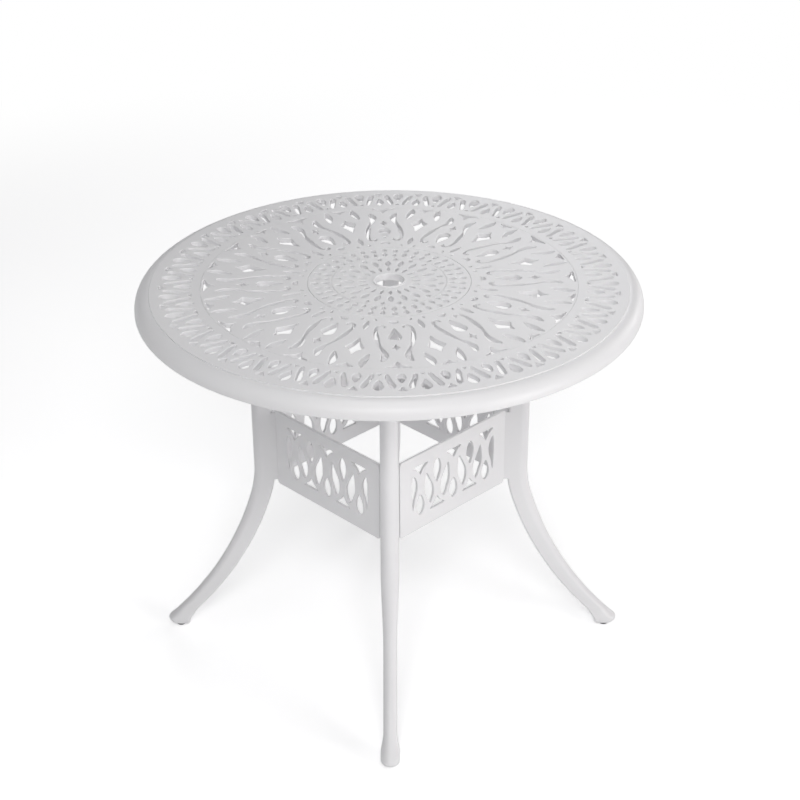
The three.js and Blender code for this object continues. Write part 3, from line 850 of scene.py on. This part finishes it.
_, glide_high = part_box("glide_front_right")
glide_pad_radius = 0.010
glide_pad_height = sole_height - fit_gap
low_edge, high_edge, low_edge_steps = 0.001, 0.0005, 4
mould_mark_radius = 0.0008
stud_radius, stud_pitch, stud_depth, stud_overlap = 0.004, 0.00125, 0.0004, 0.0005
glide_facets, stud_facets = 48, 24


def black_nylon():
    """Moulded nylon: near black, matt, with the fine spark texture of its mould and grey scuffs."""
    material, nodes = new_finish("black nylon")
    place = nodes.node("ShaderNodeTexCoord", output="Object")
    spark = nodes.node("ShaderNodeTexNoise", None, {"Vector": place, "Scale": 2200.0, "Detail": 3.0})
    scuff = nodes.node("ShaderNodeTexNoise", None, {"Vector": place, "Scale": 260.0, "Detail": 5.0})
    shade = nodes.node(
        "ShaderNodeMix", {"data_type": "RGBA"},
        {0: scuff, 6: (0.012, 0.012, 0.013, 1), 7: (0.035, 0.035, 0.037, 1)}, output=2,
    )
    bump = nodes.node("ShaderNodeBump", None, {"Height": spark * 0.00004, "Strength": 1.0, "Distance": 1.0})
    surface = nodes.node(
        "ShaderNodeBsdfPrincipled", None,
        {"Base Color": shade, "Roughness": 0.5 + scuff * 0.2, "Normal": bump},
    )
    nodes.node("ShaderNodeOutputMaterial", None, {"Surface": surface})
    return material


nylon = black_nylon()
high_edge_height = glide_pad_height - high_edge
glide_profile = (
    [(mould_mark_radius, 0)]
    + arc(glide_pad_radius - low_edge, low_edge, low_edge, low_edge, -90, 0, low_edge_steps)
    + arc(glide_pad_radius - high_edge, high_edge_height, high_edge, high_edge, 0, 90, edge_steps)
    + [(mould_mark_radius, glide_pad_height)]
)
stud_bottom = glide_pad_height - stud_overlap
glide_mesh = cast_mesh("glide", joined(
    turned(glide_profile, glide_facets),
    threaded_rod(stud_radius, stud_depth, stud_pitch, stud_bottom, glide_high.z, stud_facets),
), nylon, crease=50)
for corner, angle in leg_angles.items():
    node = f"glide_{corner}"
    place = Matrix.Translation((glide_radius * math.cos(angle), glide_radius * math.sin(angle), 0))
    show(f"{node}_pad", glide_mesh, body=f"foot_{corner}", stands_for=[node], place=place)


# Studio. A plain white floor that keeps the table's shadow, a white surround and six softboxes: one
# above the camera, a low key on its right, a weak one on its left, one overhead and two behind.

floor_radius, floor_facets = 30.0, 48
white_start, white_end = 2.0, 3.4
floor_lift, surround_strength = 0.41, 0.08
lamp_aim = Vector((0, 0, 0.5))
lamp_distance, lamp_size = 5.0, 1.8
camera_azimuth = math.radians(45.39)
camera_elevation = math.radians(29.04)
camera_roll = math.radians(-0.33)
camera_distance = 3.1328
aim_shift, aim_height = 0.01787, 0.50293
camera_aim = Vector((aim_shift * math.cos(camera_azimuth), aim_shift * math.sin(camera_azimuth), aim_height))
camera_focal_pixels = 1701.6
picture_width = 800
sensor_width = 36.0


def white_backdrop():
    """Matt pale floor. To the camera and in reflections it is lifted to white outside the shadow,
    and further out it is plain white."""
    material, nodes = new_finish("white floor")
    camera_ray = nodes.node("ShaderNodeLightPath", output="Is Camera Ray")
    glossy_ray = nodes.node("ShaderNodeLightPath", output="Is Glossy Ray")
    clear_ray = nodes.node("ShaderNodeLightPath", output="Is Transmission Ray")
    seen = nodes.maths("MAXIMUM", nodes.maths("MAXIMUM", camera_ray, glossy_ray), clear_ray)
    place = nodes.node("ShaderNodeTexCoord", output="Object")
    reach = nodes.node("ShaderNodeVectorMath", {"operation": "LENGTH"}, {0: place}, output="Value")
    far = nodes.node(
        "ShaderNodeMapRange", {"interpolation_type": "SMOOTHSTEP"},
        {"Value": reach, "From Min": white_start, "From Max": white_end},
    )
    matt = nodes.node("ShaderNodeBsdfDiffuse", None, {"Color": (0.93, 0.93, 0.935, 1)})
    glow = nodes.node("ShaderNodeEmission", None, {"Color": (1, 1, 1, 1), "Strength": floor_lift})
    white = nodes.node("ShaderNodeEmission", None, {"Color": (1, 1, 1, 1), "Strength": 1.0})
    lifted = nodes.node("ShaderNodeAddShader", None, {0: matt, 1: glow})
    pale = nodes.node("ShaderNodeMixShader", None, {0: far, 1: lifted, 2: white})
    surface = nodes.node("ShaderNodeMixShader", None, {0: seen, 1: matt, 2: pale})
    nodes.node("ShaderNodeOutputMaterial", None, {"Surface": surface})
    return material


floor_mesh = bpy.data.meshes.new("floor")
floor_corners = [(point.x, point.y, 0) for point in circle(floor_radius, floor_facets)]
floor_mesh.from_pydata(floor_corners, [], [range(floor_facets)])
floor_mesh.materials.append(white_backdrop())
floor = bpy.data.objects.new("floor", floor_mesh)
bpy.context.scene.collection.objects.link(floor)

world = bpy.data.worlds.new("white surround")
world.use_nodes = True
world.node_tree.nodes.clear()
sky = Wire(world.node_tree)
to_camera = sky.node("ShaderNodeLightPath", output="Is Camera Ray")
to_glass = sky.node("ShaderNodeLightPath", output="Is Transmission Ray")
seen_directly = sky.maths("MAXIMUM", to_camera, to_glass)
surround = sky.node(
    "ShaderNodeBackground", None, {"Color": (0.97, 0.98, 1.0, 1), "Strength": surround_strength},
)
backdrop = sky.node("ShaderNodeBackground", None, {"Color": (1, 1, 1, 1), "Strength": 1.0})
either = sky.node("ShaderNodeMixShader", None, {0: seen_directly, 1: surround, 2: backdrop})
sky.node("ShaderNodeOutputWorld", None, {"Surface": either})
bpy.context.scene.world = world


def soft_lamp(name, azimuth, elevation, power, colour):
    """A square softbox that faces the table. Its azimuth is counted from the camera's own."""
    lamp = bpy.data.lights.new(name, "AREA")
    lamp.size = lamp_size
    lamp.energy = power
    lamp.color = colour
    turn = camera_azimuth + math.radians(azimuth)
    rise = math.radians(elevation)
    back = Vector((math.sin(turn) * math.cos(rise), -math.cos(turn) * math.cos(rise), math.sin(rise)))
    holder = bpy.data.objects.new(name, lamp)
    holder.location = lamp_aim + back * lamp_distance
    holder.rotation_euler = back.to_track_quat("Z", "Y").to_euler()
    bpy.context.scene.collection.objects.link(holder)


soft_lamp("key", 55, 10, 88, (1.0, 0.98, 0.97))
soft_lamp("front", 0, 38, 98, (1.0, 0.995, 0.99))
soft_lamp("overhead", 0, 88, 72, (1.0, 1.0, 1.0))
soft_lamp("right back", 130, 15, 38, (1.0, 0.98, 0.97))
soft_lamp("back", 170, 25, 33, (0.98, 0.985, 1.0))
soft_lamp("left", -70, 8, 20, (0.97, 0.98, 1.0))

camera_data = bpy.data.cameras.new("photo_camera")
camera_data.sensor_width = sensor_width
camera_data.lens = camera_focal_pixels / picture_width * sensor_width
camera_data.clip_end = 100
camera = bpy.data.objects.new("photo_camera", camera_data)
camera_back = Vector((
    math.sin(camera_azimuth) * math.cos(camera_elevation),
    -math.cos(camera_azimuth) * math.cos(camera_elevation),
    math.sin(camera_elevation),
))
level_right = Vector((math.cos(camera_azimuth), math.sin(camera_azimuth), 0))
level_up = camera_back.cross(level_right)
camera_right = math.cos(camera_roll) * level_right + math.sin(camera_roll) * level_up
camera_up = math.cos(camera_roll) * level_up - math.sin(camera_roll) * level_right
turned_matrix = Matrix((camera_right, camera_up, camera_back)).transposed().to_4x4()
camera.matrix_world = Matrix.Translation(camera_aim + camera_back * camera_distance) @ turned_matrix
bpy.context.scene.collection.objects.link(camera)
bpy.context.scene.camera = camera
bpy.context.scene.view_settings.view_transform = "Standard"
